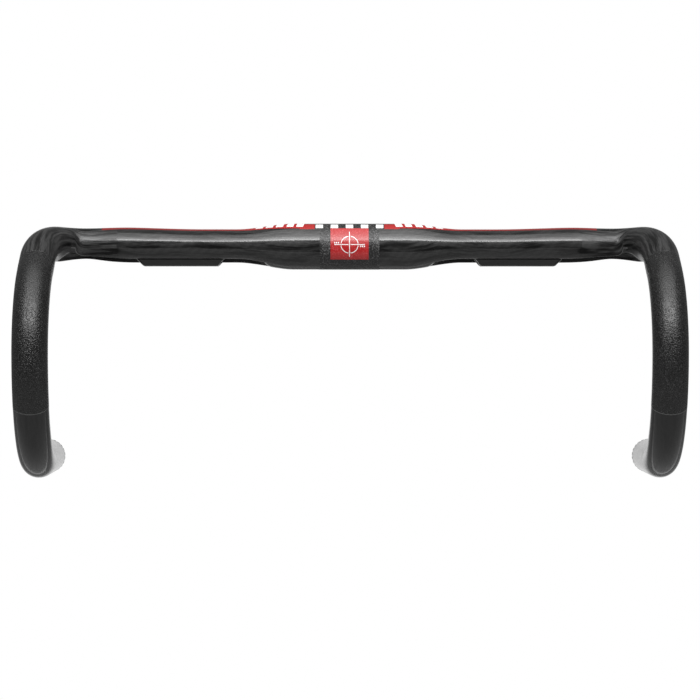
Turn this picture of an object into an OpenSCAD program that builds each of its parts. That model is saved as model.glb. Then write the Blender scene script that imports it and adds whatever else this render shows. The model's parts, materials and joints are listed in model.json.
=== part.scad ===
// Road drop handlebar: moulded carbon tops with an underside cable channel on
// each side, two bonded hooks, glued cable guides, flush transfers and an
// expanding end plug in each drop.
// Origin: centre of the stem clamp barrel. +X is the rider's left, +Z is up and
// the bike's front is -Y. Millimetres.

/* [Clamp barrel] */
// Diameter that the stem clamps
clamp_d = 31.8; // [30:0.1:33]
// Length of the true cylinder
clamp_len = 72; // [66:1:74]
// Wall of the barrel
clamp_wall = 2.5; // [2:0.1:3.5]

/* [Wing tops] */
// Front to back depth of the wing
wing_depth = 39; // [34:0.5:44]
// Height of the wing's top above the clamp axis
wing_top = 12.1; // [11.5:0.1:13]
// Extra height of the top near the corners
wing_rise = 1.4; // [0:0.1:1.8]
// Depth of the wing's underside below the clamp axis
wing_bottom = 10.9; // [10.4:0.1:12]
// How far the wing's middle sits behind the clamp axis
wing_setback = 4; // [2:0.5:6]
// Distance from the middle at which the taper starts
taper_start = 38; // [37:1:42]
// Distance from the middle at which the wing reaches its full shape
taper_end = 78; // [72:1:84]
// Wall of the wing
wing_wall = 2; // [1.6:0.1:2.2]

/* [Hooks] */
// Width, from the middle of one hook to the middle of the other
bar_width = 420; // [400:10:440]
// Outside diameter of the tube
tube_d = 24; // [23.8:0.1:24.2]
// Wall of the tube
tube_wall = 2; // [1.6:0.1:2.4]
// Height of the tube's centreline at the corners
corner_z = 1.2; // [0.8:0.1:1.6]
// Radius of the corner bend, seen from above
corner_r = 20; // [18:1:24]
// Turn of the corner bend, in degrees
corner_turn = 65; // [60:1:70]
// Radius of the bend that lowers the ramp
ramp_r = 61; // [56:1:66]
// Downward slope of the ramp at the bonded joint, in degrees
ramp_slope = 32; // [28:1:36]
// Straight length across the bonded joint
joint_len = 18; // [16:1:20]
// Radius of the hook above its foremost point
upper_hook_r = 63; // [60:0.5:68]
// Radius of the hook below its foremost point
lower_hook_r = 73.5; // [68:0.5:78]
// Straight length of the drop behind the hook
drop_len = 71.7; // [60:0.1:80]
// Outward flare of the lower hook and drop, in degrees
flare = 1.6; // [0:0.1:4]

/* [Cable channel] */
// Width of the channel
channel_w = 14; // [12:0.5:15]
// Position of the channel's middle, front to back
channel_y = -1; // [-2:0.5:0]
// Height of the channel's roof
channel_roof = -4.4; // [-5:0.1:-4]
// Inner end of the cable guide
guide_in = 86.6; // [80:0.1:92]
// Outer end of the cable guide
guide_out = 146.8; // [140:0.2:150]
// Height of the guide's underside
guide_bottom = -13.75; // [-14.2:0.05:-12.8]

/* [Graphics] */
// Half width of the front badge
badge_half = 13.1; // [10:0.1:15]
// Angle of the badge's top edge above the front
badge_top = 50.4; // [45:0.2:50.4]
// Angle of the badge's bottom edge below the front
badge_low = 36; // [20:1:40]
// Number of rotation marks on top
mark_count = 5; // [3:2:5]
// Width of one rotation mark
mark_w = 5.1; // [4:0.1:6]
// Spacing of the rotation marks
mark_pitch = 10.4; // [9:0.1:11]

/* [End plugs] */
// Distance that the plug's cap stands out
cap_height = 3.2; // [2.5:0.1:5]
// Length of the rubber expander
expander_len = 14; // [12:0.5:18]
// Thread diameter of the plug screw
screw_d = 5; // [5:0.1:5.2]

/* [Hidden] */
$fn = 96;
clamp_r = clamp_d/2;
tube_r = tube_d/2;
bore_r = tube_r - tube_wall;
step = 0.08;        // a mesh ring stays this far inside the round it grows from
glue = 0.05;        // glue line of the bonded pieces
bore_ledge = 0.4;   // how much narrower the void is than the barrel's bore where they meet
hair = 0.05;        // how much thinner a bend is than the straight beside it
lap = 1.2;          // how far a bend runs into the straight beside it
film = 0.1;         // thickness of one layer of a transfer
wing_power = 2.2;   // power of the wing's superellipse
lip_limit = 0.97;   // share of the half depth that the channel's lips stay within
neck_start = 148;   // where the wing starts to turn into the round tube
neck_dip = 0.6;     // how much thinner the tube is at the start of the corner
neck_len = 22;
rise_span = [100, 166];
channel_open = [54, 70];
channel_drift = 10; // how far the channel moves forward through the corner
drift_len = 38;
channel_close = [17, 34];   // where it runs out, past the start of the corner
mark_band = [51, 71];  // the marks' lower and upper edges, in degrees above the front
panel_band = [47, 71];
panel_x = [24, 34.4];
film_lift = 0.06;   // gap under a transfer that lies on the wing
film_gap = 0.04;    // gap between one such transfer and the next above it

function ease(t) = let (u = min(1, max(0, t))) u*u*(3 - 2*u);
function mix(a, b, t) = a + (b - a)*t;
function unit(v) = v/norm(v);

// ---- Centreline of the left side, as a station s measured along it ----
turn_dir = [cos(corner_turn), -sin(corner_turn), 0];
turn_side = [sin(corner_turn), cos(corner_turn), 0];
ramp_dir = [0, -cos(ramp_slope), -sin(ramp_slope)];
ramp_turn = acos(turn_dir*ramp_dir);
ramp_in = unit(ramp_dir - turn_dir*cos(ramp_turn));
ramp_axis = cross(turn_dir, ramp_in);
corner_dx = corner_r*sin(corner_turn);
ramp_move = ramp_r*(sin(ramp_turn)*turn_dir + (1 - cos(ramp_turn))*ramp_in);
corner_x = bar_width/2 - corner_dx - ramp_move[0];
corner_arc = corner_r*corner_turn*PI/180;
ramp_arc = ramp_r*ramp_turn*PI/180;
ramp_s = corner_x + corner_arc;
collar_s = ramp_s + ramp_arc;
corner_end = [corner_x + corner_dx, -corner_r*(1 - cos(corner_turn)), corner_z];
collar_pos = corner_end + ramp_move;
joint_pos = collar_pos + ramp_dir*joint_len/2;
hook_pos = collar_pos + ramp_dir*joint_len;
hook_axis_y = hook_pos[1] + upper_hook_r*sin(ramp_slope);
front_y = hook_axis_y - upper_hook_r;
front_z = hook_pos[2] - upper_hook_r*cos(ramp_slope);

// Position, sideways and upward directions of the section at station s
function straight_frame(s) = [[s, 0, corner_z], [0, 1, 0], [0, 0, 1]];
function corner_frame(s) =
    let (a = (s - corner_x)/corner_arc*corner_turn)
    [[corner_x + corner_r*sin(a), -corner_r*(1 - cos(a)), corner_z],
     [sin(a), cos(a), 0], [0, 0, 1]];
function ramp_frame(s) =
    let (a = (s - ramp_s)/ramp_arc*ramp_turn,
         inward = cos(a)*ramp_in - sin(a)*turn_dir,
         up = [0, 0, 1])
    [corner_end + ramp_r*(sin(a)*turn_dir + (1 - cos(a))*ramp_in),
     (turn_side*ramp_in)*inward + (turn_side*ramp_axis)*ramp_axis,
     (up*ramp_in)*inward + (up*ramp_axis)*ramp_axis];
function collar_frame(s) =
    let (f = ramp_frame(collar_s))
    [f[0] + ramp_dir*(s - collar_s), f[1], f[2]];
function frame_at(s) =
    s <= corner_x ? straight_frame(s)
    : s <= ramp_s ? corner_frame(s)
    : s <= collar_s ? ramp_frame(s)
    : collar_frame(s);

// ---- Cross-section: a superellipse with a channel pressed into its underside ----
function wing_share(s) = ease((s - taper_start)/(taper_end - taper_start));
function tube_share(s) = ease((s - neck_start)/(corner_x - neck_start));
function tube_radius(s) = tube_r - step - neck_dip*(1 - ease((s - corner_x)/neck_len));
function rise(s) = wing_rise*ease((s - rise_span[0])/(rise_span[1] - rise_span[0]));
function blend(s, clamp, wing, tube) =
    mix(mix(clamp, wing, wing_share(s)), tube, tube_share(s));
function half_depth(s) = blend(s, clamp_r - step, wing_depth/2, tube_radius(s));
function top_z(s) = blend(s, clamp_r - step, wing_top + rise(s), corner_z + tube_radius(s));
function low_z(s) = blend(s, step - clamp_r, -wing_bottom, corner_z - tube_radius(s));
function mid_y(s) = blend(s, 0, wing_setback, 0);
function power(s) = blend(s, 2, wing_power, 2);
function channel_mid(s) = channel_y - channel_drift*ease((s - corner_x)/drift_len);
function channel_depth(s) =
    ease((s - channel_open[0])/(channel_open[1] - channel_open[0]))
    *(1 - ease((s - corner_x - channel_close[0])/(channel_close[1] - channel_close[0])));

arc_points = 36;
band_span = [16, 22];   // points of the outline that the red band covers, from the rear
stripe_span = [16, 21];
// Share of the channel's width, and of its depth, from the front lip to the rear lip
channel_walk = [[0.05, 0.75], [0.11, 0.96], [0.22, 1], [0.36, 1], [0.5, 1],
                [0.64, 1], [0.78, 1], [0.89, 0.96], [0.95, 0.75]];

function sgn_pow(v, p) = sign(v)*pow(abs(v), p);
// Underside of the superellipse at y, for half sizes a and b and power n
function underside(y, a, b, n) = -b*pow(max(0, 1 - pow(abs(y)/a, n)), 1/n);
function oval(angle, a, b, n) =
    [a*sgn_pow(cos(angle), 2/n), b*sgn_pow(sin(angle), 2/n)];

// Outline of the section at s, moved inward by wall, as [y, z] about the centreline
function section(s, wall) =
    let (a = half_depth(s) - wall,
         b = (top_z(s) - low_z(s))/2 - wall,
         z0 = (top_z(s) + low_z(s))/2 - corner_z,
         y0 = mid_y(s),
         n = power(s),
         half = channel_w/2 + wall,
         front = max(channel_mid(s) - half - y0, -lip_limit*a),
         rear = min(channel_mid(s) + half - y0, lip_limit*a),
         from = -acos(sgn_pow(rear/a, n/2)),
         to = 360 - acos(sgn_pow(front/a, n/2)),
         roof = channel_roof - corner_z - z0 + wall)
    concat(
        [for (i = [0:arc_points - 1])
            let (p = oval(mix(from, to, i/(arc_points - 1)), a, b, n))
            [y0 + p[0], z0 + p[1]]],
        [for (w = channel_walk)
            let (y = mix(front, rear, w[0]),
                 z = underside(y, a, b, n))
            [y0 + y, z0 + z + w[1]*channel_depth(s)*max(0, roof - z)]]);

function place(s, p) = let (f = frame_at(s)) f[0] + f[1]*p[0] + f[2]*p[1];
function ring(s, wall) = [for (p = section(s, wall)) place(s, p)];

// Closed mesh through rings of equal length. The diagonals of its sides turn the other
// way from point fold on, so that the two faces of a thin film stay parallel. The cap
// lists the faces that close the first ring.
module skin(rings, fold, cap) {
    n = len(rings[0]);
    last = len(rings) - 1;
    split = [for (i = [0:last - 1], j = [0:n - 1])
        let (k = (j + 1) % n, a = i*n + j, b = a + n, c = i*n + k + n, d = i*n + k)
        each j < fold ? [[a, b, c], [a, c, d]] : [[a, b, d], [b, c, d]]];
    end = [for (face = cap) [for (j = [len(face) - 1:-1:0]) last*n + face[j]]];
    polyhedron(points = [for (r = rings) each r], faces = concat(cap, split, end));
}

// Closed mesh through whole outlines
module tube_skin(rings) {
    n = len(rings[0]);
    skin(rings, n, [[for (j = [0:n - 1]) j]]);
}

// ---- Stations ----
taper_stations = [clamp_len/2 - 1, clamp_len/2, 37, 41, 44, 48, 51, 55, 58, 62, 66, 71, 78];
wing_stations = [88, 100, 112, 124, 136, 147, 153, 159, 165, 171, 177];
corner_stations = [for (i = [0:6]) corner_x + corner_arc*i/6];
ramp_stations = [for (i = [1:6]) ramp_s + ramp_arc*i/6];
outer_stations = concat(taper_stations, wing_stations, corner_stations, ramp_stations,
                        [collar_s + 1]);
void_stations = concat([clamp_len/2 - 2, taper_start, 42, 50, 60, 70, 80, 100, 130, 148],
                       [156, 164, 172],
                       [for (i = [0:4]) corner_x + corner_arc*i/4],
                       [for (i = [1:4]) ramp_s + ramp_arc*i/4],
                       [collar_s + 1]);
band_stations = [for (s = concat(taper_stations, wing_stations)) if (s > clamp_len/2 && s <= 171) s];

// ---- Shared shapes ----
module both_sides() {
    children();
    mirror([1, 0, 0]) children();
}

// Puts children on the left side, or mirrors them to the right
module on_side(left) {
    if (left) children();
    else mirror([1, 0, 0]) children();
}

// Straight round bar from the joint, pointing along the ramp
module along_ramp(from, r, length) {
    translate(from) rotate([90 + ramp_slope, 0, 0]) cylinder(r = r, h = length);
}

// Film patch on the barrel, from angle a0 to a1 above the front, between radii r0 and r1
module barrel_patch(a0, a1, x0, x1, r0, r1) {
    rotate([90, 0, -90])
        rotate([0, 0, a0])
            rotate_extrude(angle = a1 - a0)
                translate([r0, -x1]) square([r1 - r0, x1 - x0]);
}

module mark_patches(r0, r1) {
    for (i = [0:mark_count - 1]) {
        x = (i - (mark_count - 1)/2)*mark_pitch - mark_w/2;
        barrel_patch(mark_band[0], mark_band[1], x, x + mark_w, r0, r1);
    }
}

module panel_patch(r0, r1) {
    barrel_patch(panel_band[0], panel_band[1], panel_x[0], panel_x[1], r0, r1);
}

// ---- Tops ----
module top_outer() {
    rotate([0, 90, 0]) cylinder(r = clamp_r, h = clamp_len, center = true);
    both_sides() {
        tube_skin([for (s = outer_stations) ring(s, 0)]);
        along_ramp(collar_pos, tube_r, joint_len/2);
    }
}

// Wall of the void at station s: a ledge thicker where it meets the barrel's bore
function void_wall(s) = s <= taper_start ? clamp_wall + bore_ledge : wing_wall;

module top_void() {
    rotate([0, 90, 0]) cylinder(r = clamp_r - clamp_wall, h = clamp_len, center = true);
    both_sides() {
        tube_skin([for (s = void_stations) ring(s, void_wall(s))]);
        along_ramp(collar_pos, bore_r, joint_len);
    }
}

module top_section() {
    color([0.09, 0.09, 0.1])
        difference() {
            top_outer();
            top_void();
            barrel_patch(-badge_low, badge_top, -badge_half, badge_half,
                         clamp_r - 2*film, clamp_r + 1);
            mark_patches(clamp_r - film, clamp_r + 1);
            both_sides() panel_patch(clamp_r - film, clamp_r + 1);
        }
}

// ---- Hooks ----
// Moves children to the foremost point of the hook, turned to the flare
module at_front() {
    translate([bar_width/2, front_y, front_z]) rotate([0, 0, -flare]) children();
}

// Moves children to the open end of the drop, +Z pointing out of it
module at_drop_end() {
    at_front()
        translate([0, lower_hook_r + drop_len, -lower_hook_r])
            rotate([-90, 0, 0]) children();
}

// Round bar along the whole hook and drop, longer by spare at both ends. Each bend is
// a hair thinner than the straight beside it and runs a little way into it, so the
// lengths join without faces that lie on each other.
module hook_run(r, spare) {
    upper_lap = lap/upper_hook_r*180/PI;
    lower_lap = lap/lower_hook_r*180/PI;
    along_ramp(joint_pos - ramp_dir*spare, r, joint_len/2 + spare);
    translate([bar_width/2, hook_axis_y, front_z])
        rotate([90, 0, -90])
            rotate([0, 0, -upper_lap])
                rotate_extrude(angle = 90 - ramp_slope + 2*upper_lap)
                    translate([upper_hook_r, 0]) circle(r - 2*hair);
    at_front()
        translate([0, lower_hook_r, 0])
            rotate([-90, 0, -90])
                rotate_extrude(angle = 90 + lower_lap)
                    translate([lower_hook_r, 0]) circle(r - hair);
    at_drop_end()
        translate([0, 0, -drop_len]) cylinder(r = r, h = drop_len + spare);
}

module hook(left) {
    color([0.07, 0.07, 0.08])
        on_side(left)
            difference() {
                hook_run(tube_r, 0);
                hook_run(bore_r, 1);
            }
}

module left_hook() hook(true);
module right_hook() hook(false);

module bond_sleeve(left) {
    sleeve_wall = 1.5;
    color([0.2, 0.2, 0.21])
        on_side(left)
            difference() {
                along_ramp(collar_pos, bore_r - glue, joint_len);
                along_ramp(collar_pos - ramp_dir, bore_r - glue - sleeve_wall, joint_len + 2);
            }
}

module left_bond_sleeve() bond_sleeve(true);
module right_bond_sleeve() bond_sleeve(false);

// ---- Cable guides ----
// Trough that fills the channel's mouth, drawn as [y, z]
module guide_profile() {
    front = channel_y - channel_w/2;
    rear = channel_y + channel_w/2;
    low = guide_bottom;
    wall = 1.25;
    crest = -6.2;       // height of the trough's two edges
    polygon([
        [front + 0.9, crest], [front + 0.15, -9], [front + 0.6, -10.2],
        [front + 1.9, low + 0.9], [front + 3.2, low], [rear - 2.2, low],
        [rear - 0.7, low + 0.6], [rear - 0.2, -10.9], [rear - 0.9, crest],
        [rear - 0.9 - wall, crest], [rear - 0.5 - wall, -10.9],
        [rear - 2.5, low + wall], [front + 3.6, low + wall],
        [front + 1.9, -10], [front + 0.9 + wall, crest]
    ]);
}

module cable_guide(left) {
    lip = -9;           // the ends are square above this height and slope below it
    low = guide_bottom - 1;
    slope_in = 5;
    slope_out = 5.8;
    color([0.1, 0.1, 0.11])
        on_side(left)
            intersection() {
                translate([guide_in - 1, 0, 0])
                    rotate([90, 0, 90])
                        linear_extrude(guide_out - guide_in + 2) guide_profile();
                rotate([90, 0, 0])
                    linear_extrude(2*channel_w, center = true)
                        polygon([[guide_in, channel_roof], [guide_in, lip],
                                 [guide_in + slope_in, low], [guide_out - slope_out, low],
                                 [guide_out, lip], [guide_out, channel_roof]]);
            }
}

module left_cable_guide() cable_guide(true);
module right_cable_guide() cable_guide(false);

// ---- Transfers ----
// Alignment target on the badge: a cross with a ring, and short ticks beside its arms
module target(r0, r1) {
    middle = 3;         // degrees above the front
    line = 0.3;         // half width of a line
    gap = 0.4;          // bare film between one line and the next
    arm = 10.5;
    ring_r = 5.9;
    upper = 38;
    lower = -28;
    line_turn = line/clamp_r*180/PI;
    gap_turn = gap/clamp_r*180/PI;
    clear = line + gap;
    tick_w = 0.7;
    tick_pitch = 1.3;
    tick_count = 3;
    tick_turn = 4;
    barrel_patch(lower, upper, -line, line, r0, r1);
    for (x = [-arm, clear])
        barrel_patch(middle - line_turn, middle + line_turn, x, x + arm - clear, r0, r1);
    difference() {
        intersection() {
            barrel_patch(lower, upper, -arm, arm, r0, r1);
            rotate([90 - middle, 0, 0])
                difference() {
                    cylinder(r = ring_r + line, h = 2*clamp_r);
                    translate([0, 0, -1]) cylinder(r = ring_r - line, h = 2*clamp_r + 2);
                }
        }
        barrel_patch(lower - 1, upper + 1, -clear, clear, r0 - 1, r1 + 1);
        barrel_patch(middle - line_turn - gap_turn, middle + line_turn + gap_turn,
                     -arm - 1, arm + 1, r0 - 1, r1 + 1);
    }
    for (side = [-1, 1], i = [0:tick_count - 1]) {
        x = side*(arm - tick_w/2 - i*tick_pitch);
        from = middle - side*(line_turn + gap_turn);
        to = from - side*tick_turn;
        barrel_patch(min(from, to), max(from, to), x - tick_w/2, x + tick_w/2, r0, r1);
    }
}

module badge_panel() {
    color([0.62, 0.07, 0.08])
        difference() {
            barrel_patch(-badge_low, badge_top, -badge_half, badge_half,
                         clamp_r - 2*film, clamp_r);
            target(clamp_r - film, clamp_r + 1);
        }
}

module badge_scale() {
    color([0.92, 0.92, 0.92]) target(clamp_r - film, clamp_r);
}

module rotation_marks() {
    color([0.93, 0.93, 0.93]) mark_patches(clamp_r - film, clamp_r);
}

// Film on the wing's top, through the given stations and over the given span of the
// outline's points, from height low to low + film above the wing
module wing_film(stations, span, low) {
    m = span[1] - span[0] + 1;
    rings = [for (s = stations)
        let (over = ring(s, -low - film), under = ring(s, -low))
        concat([for (j = [span[0]:span[1]]) over[j]],
               [for (j = [span[1]:-1:span[0]]) under[j]])];
    skin(rings, m, [for (j = [0:m - 2]) each [[j, j + 1, 2*m - 1 - j],
                                              [j + 1, 2*m - 2 - j, 2*m - 1 - j]]]);
}

module red_band(left) {
    color([0.55, 0.06, 0.07])
        on_side(left) {
            wing_film(band_stations, band_span, film_lift);
            panel_patch(clamp_r - film, clamp_r);
        }
}

module left_red_band() red_band(true);
module right_red_band() red_band(false);

module white_stripes(left) {
    color([0.93, 0.93, 0.93])
        on_side(left)
            for (pair = [[30, 34], [37, 41], [44, 48], [51, 55], [58, 62]])
                wing_film(pair, stripe_span, film_lift + film + film_gap);
}

module left_white_stripes() white_stripes(true);
module right_white_stripes() white_stripes(false);

// ---- End plugs, drawn with +Z pointing out of the drop ----
spigot_len = 6;
head_r = 4.25;
head_len = 3;
seat_z = -0.4;      // height of the screw's seat in the cap
shank_r = screw_d/2;
cap_bore = 0.25;    // clearance of the shank in the cap
head_bore = 0.35;   // clearance of the head in the cap
cone_in = -spigot_len - expander_len - 4;
cone_len = 12;
cone_r = [4.4, 8.4];
cone_gap = 0.1;

module plug_cap(left) {
    color([0.06, 0.06, 0.06])
        on_side(left) at_drop_end()
            rotate_extrude()
                polygon([
                    [shank_r + cap_bore, -spigot_len], [bore_r - glue, -spigot_len],
                    [bore_r - glue, 0], [tube_r - 0.1, 0], [tube_r, 0.6],
                    [tube_r - 0.3, 0.55*cap_height], [tube_r - 1.6, 0.85*cap_height],
                    [tube_r - 4, cap_height], [head_r + head_bore, cap_height],
                    [head_r + head_bore, seat_z], [shank_r + cap_bore, seat_z]
                ]);
}

module plug_expander(left) {
    top = -spigot_len;
    low = -spigot_len - expander_len;
    slope = (cone_r[1] - cone_r[0])/cone_len;
    cone_top = cone_in + cone_len;
    mouth = cone_r[0] + (cone_top - low)*slope + cone_gap;
    slot_w = 1;
    color([0.13, 0.13, 0.13])
        on_side(left) at_drop_end()
            difference() {
                rotate_extrude()
                    polygon([
                        [cone_r[0] + cone_gap, top], [cone_r[0] + cone_gap, cone_top],
                        [mouth, low], [bore_r - glue, low], [bore_r - glue, top]
                    ]);
                for (a = [0, 90])
                    rotate([0, 0, a])
                        translate([-tube_r, -slot_w/2, low - 1])
                            cube([2*tube_r, slot_w, expander_len - 3]);
            }
}

module plug_cone(left) {
    color([0.7, 0.7, 0.72])
        on_side(left) at_drop_end()
            translate([0, 0, cone_in])
                difference() {
                    cylinder(r1 = cone_r[1], r2 = cone_r[0], h = cone_len);
                    translate([0, 0, -1]) cylinder(r = shank_r + glue, h = cone_len + 2);
                }
}

module plug_screw(left) {
    key_r = 2/cos(30);
    key_depth = 2;
    color([0.3, 0.3, 0.32])
        on_side(left) at_drop_end()
            difference() {
                union() {
                    translate([0, 0, seat_z + 0.02]) cylinder(r = head_r, h = head_len);
                    translate([0, 0, cone_in - 1])
                        cylinder(r = shank_r, h = seat_z - cone_in + 1.5);
                }
                translate([0, 0, seat_z + head_len - key_depth])
                    cylinder(r = key_r, h = key_depth + 1, $fn = 6);
            }
}

module left_plug_cap() plug_cap(true);
module right_plug_cap() plug_cap(false);
module left_plug_expander() plug_expander(true);
module right_plug_expander() plug_expander(false);
module left_plug_cone() plug_cone(true);
module right_plug_cone() plug_cone(false);
module left_plug_screw() plug_screw(true);
module right_plug_screw() plug_screw(false);

top_section();
left_hook();
right_hook();
left_bond_sleeve();
right_bond_sleeve();
left_cable_guide();
right_cable_guide();
badge_panel();
badge_scale();
rotation_marks();
left_red_band();
right_red_band();
left_white_stripes();
right_white_stripes();
left_plug_cap();
right_plug_cap();
left_plug_expander();
right_plug_expander();
left_plug_cone();
right_plug_cone();
left_plug_screw();
right_plug_screw();
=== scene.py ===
"""Looks of the drop handlebar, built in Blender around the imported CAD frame.

Shapes are drawn in millimetres in the frame's axes: +X is the rider's left, +Z is
up and the bike's front is -Y. mesh_piece() turns them into metres.
"""

import json
import math

import bpy
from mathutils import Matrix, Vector


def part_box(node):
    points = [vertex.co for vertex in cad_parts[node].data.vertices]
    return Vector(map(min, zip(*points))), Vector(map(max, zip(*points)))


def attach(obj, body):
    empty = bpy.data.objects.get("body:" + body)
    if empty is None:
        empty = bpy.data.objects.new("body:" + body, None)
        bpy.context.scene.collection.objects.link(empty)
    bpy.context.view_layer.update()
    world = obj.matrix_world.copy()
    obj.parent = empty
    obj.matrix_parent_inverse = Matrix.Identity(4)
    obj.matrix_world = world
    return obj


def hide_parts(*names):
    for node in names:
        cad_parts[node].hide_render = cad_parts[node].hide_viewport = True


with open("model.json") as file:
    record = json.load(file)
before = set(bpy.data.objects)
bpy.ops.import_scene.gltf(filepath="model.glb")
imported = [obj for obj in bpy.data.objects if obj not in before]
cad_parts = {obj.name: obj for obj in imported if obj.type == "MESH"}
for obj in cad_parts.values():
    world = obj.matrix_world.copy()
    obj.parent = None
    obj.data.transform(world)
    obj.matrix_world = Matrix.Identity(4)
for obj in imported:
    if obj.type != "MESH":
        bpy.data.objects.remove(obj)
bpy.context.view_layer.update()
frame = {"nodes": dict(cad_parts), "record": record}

MM = 0.001
SIDES = {"left": 1.0, "right": -1.0}
mounts = {m["name"]: m for m in frame["record"]["mounts"]}

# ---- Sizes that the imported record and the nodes' boxes give, in millimetres ----
clamp_r = mounts["stem_clamp"]["dims"]["r_mm"]
clamp_half = mounts["stem_clamp"]["dims"]["length_mm"] / 2
tube_r = mounts["left_drop_tube"]["dims"]["r_mm"]
drop_len = mounts["left_drop_tube"]["dims"]["length_mm"]
drop_mid = Vector(mounts["left_drop_tube"]["pos_m"]) / MM
drop_dir = Vector(mounts["left_drop_tube"]["axis"]).normalized()
guide_low, guide_high = (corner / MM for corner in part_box("left_cable_guide"))
drop_end = drop_mid + drop_dir * drop_len / 2

# ---- Sizes of the tops and the hooks' bends, in millimetres; turns in radians ----
WING_HALF, WING_TOP, WING_RISE, WING_BOTTOM, WING_SETBACK = 19.5, 12.1, 1.4, 10.9, 4.0
TAPER = (38.0, 78.0)
NECK_START, NECK_DIP, NECK_LEN = 148.0, 0.6, 22.0
RISE_SPAN = (100.0, 166.0)
WALL, CLAMP_WALL, WALL_TAPER = 2.0, 2.5, 6.0
CORNER_Z, CORNER_R, CORNER_TURN = 1.2, 20.0, math.radians(65)
RAMP_R, RAMP_SLOPE, JOINT_LEN = 61.0, math.radians(32), 18.0
UPPER_R, LOWER_R = 63.0, 73.5
HOOK_X = 210.0
CHANNEL_HALF, CHANNEL_Y, CHANNEL_ROOF = 7.0, -1.0, -4.4
CHANNEL_OPEN, CHANNEL_CLOSE = (54.0, 70.0), (17.0, 34.0)
CHANNEL_DRIFT, DRIFT_LEN = 10.0, 38.0
GRIT_HALF = 20.5


# ---- Small maths ----
def ease(t):
    u = min(1.0, max(0.0, t))
    return u * u * (3 - 2 * u)


def mix(a, b, t):
    return a + (b - a) * t


def spread(lo, hi, count):
    """count values from lo to hi, both included."""
    return [mix(lo, hi, i / (count - 1)) for i in range(count)]


def signed_power(v, p):
    return math.copysign(abs(v) ** p, v)


def mirrored(p, side):
    return Vector((p[0] * side, p[1], p[2]))


# ---- Centreline of the left side, as a station s measured along it ----
turn_dir = Vector((math.cos(CORNER_TURN), -math.sin(CORNER_TURN), 0))
turn_side = Vector((math.sin(CORNER_TURN), math.cos(CORNER_TURN), 0))
ramp_dir = Vector((0, -math.cos(RAMP_SLOPE), -math.sin(RAMP_SLOPE)))
ramp_turn = math.acos(turn_dir.dot(ramp_dir))
ramp_in = (ramp_dir - turn_dir * math.cos(ramp_turn)).normalized()
ramp_axis = turn_dir.cross(ramp_in)
corner_dx = CORNER_R * math.sin(CORNER_TURN)
ramp_move = RAMP_R * (
    math.sin(ramp_turn) * turn_dir + (1 - math.cos(ramp_turn)) * ramp_in
)
corner_x = HOOK_X - corner_dx - ramp_move.x
corner_arc = CORNER_R * CORNER_TURN
ramp_s = corner_x + corner_arc
collar_s = ramp_s + RAMP_R * ramp_turn
joint_s = collar_s + JOINT_LEN / 2
corner_end = Vector(
    (corner_x + corner_dx, -CORNER_R * (1 - math.cos(CORNER_TURN)), CORNER_Z)
)
collar_pos = corner_end + ramp_move


def frame_at(s):
    """Position, sideways and upward directions of the left section at station s."""
    up = Vector((0, 0, 1))
    if s <= corner_x:
        return Vector((s, 0, CORNER_Z)), Vector((0, 1, 0)), up
    if s <= ramp_s:
        a = (s - corner_x) / CORNER_R
        centre = Vector(
            (
                corner_x + CORNER_R * math.sin(a),
                -CORNER_R * (1 - math.cos(a)),
                CORNER_Z,
            )
        )
        return centre, Vector((math.sin(a), math.cos(a), 0)), up
    a = (min(s, collar_s) - ramp_s) / RAMP_R
    inward = math.cos(a) * ramp_in - math.sin(a) * turn_dir
    centre = corner_end + RAMP_R * (
        math.sin(a) * turn_dir + (1 - math.cos(a)) * ramp_in
    )
    centre = centre + ramp_dir * max(0.0, s - collar_s)
    side = turn_side.dot(ramp_in) * inward + turn_side.dot(ramp_axis) * ramp_axis
    up = up.dot(ramp_in) * inward + up.dot(ramp_axis) * ramp_axis
    return centre, side, up


# ---- Cross-section of the tops ----
def blend_at(s, clamp, wing, tube):
    taper = ease((s - TAPER[0]) / (TAPER[1] - TAPER[0]))
    neck = ease((s - NECK_START) / (corner_x - NECK_START))
    return mix(mix(clamp, wing, taper), tube, neck)


def tube_radius(s):
    return tube_r - NECK_DIP * (1 - ease((s - corner_x) / NECK_LEN))


def channel_depth(s):
    opening = ease((s - CHANNEL_OPEN[0]) / (CHANNEL_OPEN[1] - CHANNEL_OPEN[0]))
    closing = ease(
        (s - corner_x - CHANNEL_CLOSE[0]) / (CHANNEL_CLOSE[1] - CHANNEL_CLOSE[0])
    )
    return opening * (1 - closing)


ARC_POINTS = 104
LIP = 0.7  # rounding of the channel's lips
LIP_STEPS = 5
LIP_PHASE, WALL_PHASE = math.radians(7), math.radians(78)
WALL_STEPS = 12
ROOF_STEPS = 6
LIP_LIMIT = 0.97  # share of the half depth that the channel's lips stay within
WING_POWER = 2.2  # power of the wing's superellipse


def channel_walk():
    """Shares of the channel's width and depth, from the front lip to its middle."""
    walk = []
    for phase in spread(LIP_PHASE, WALL_PHASE, WALL_STEPS):
        walk.append(((1 - math.cos(phase) ** 0.25) / 2, math.sin(phase)))
    last = walk[-1][0]
    for t in spread(last, 0.5, ROOF_STEPS)[1:]:
        walk.append((t, math.sqrt(max(0.0, 1 - (1 - 2 * t) ** 8))))
    return walk


HALF_WALK = channel_walk()
WALK = HALF_WALK + [(1 - t, w) for t, w in reversed(HALF_WALK[:-1])]


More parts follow.
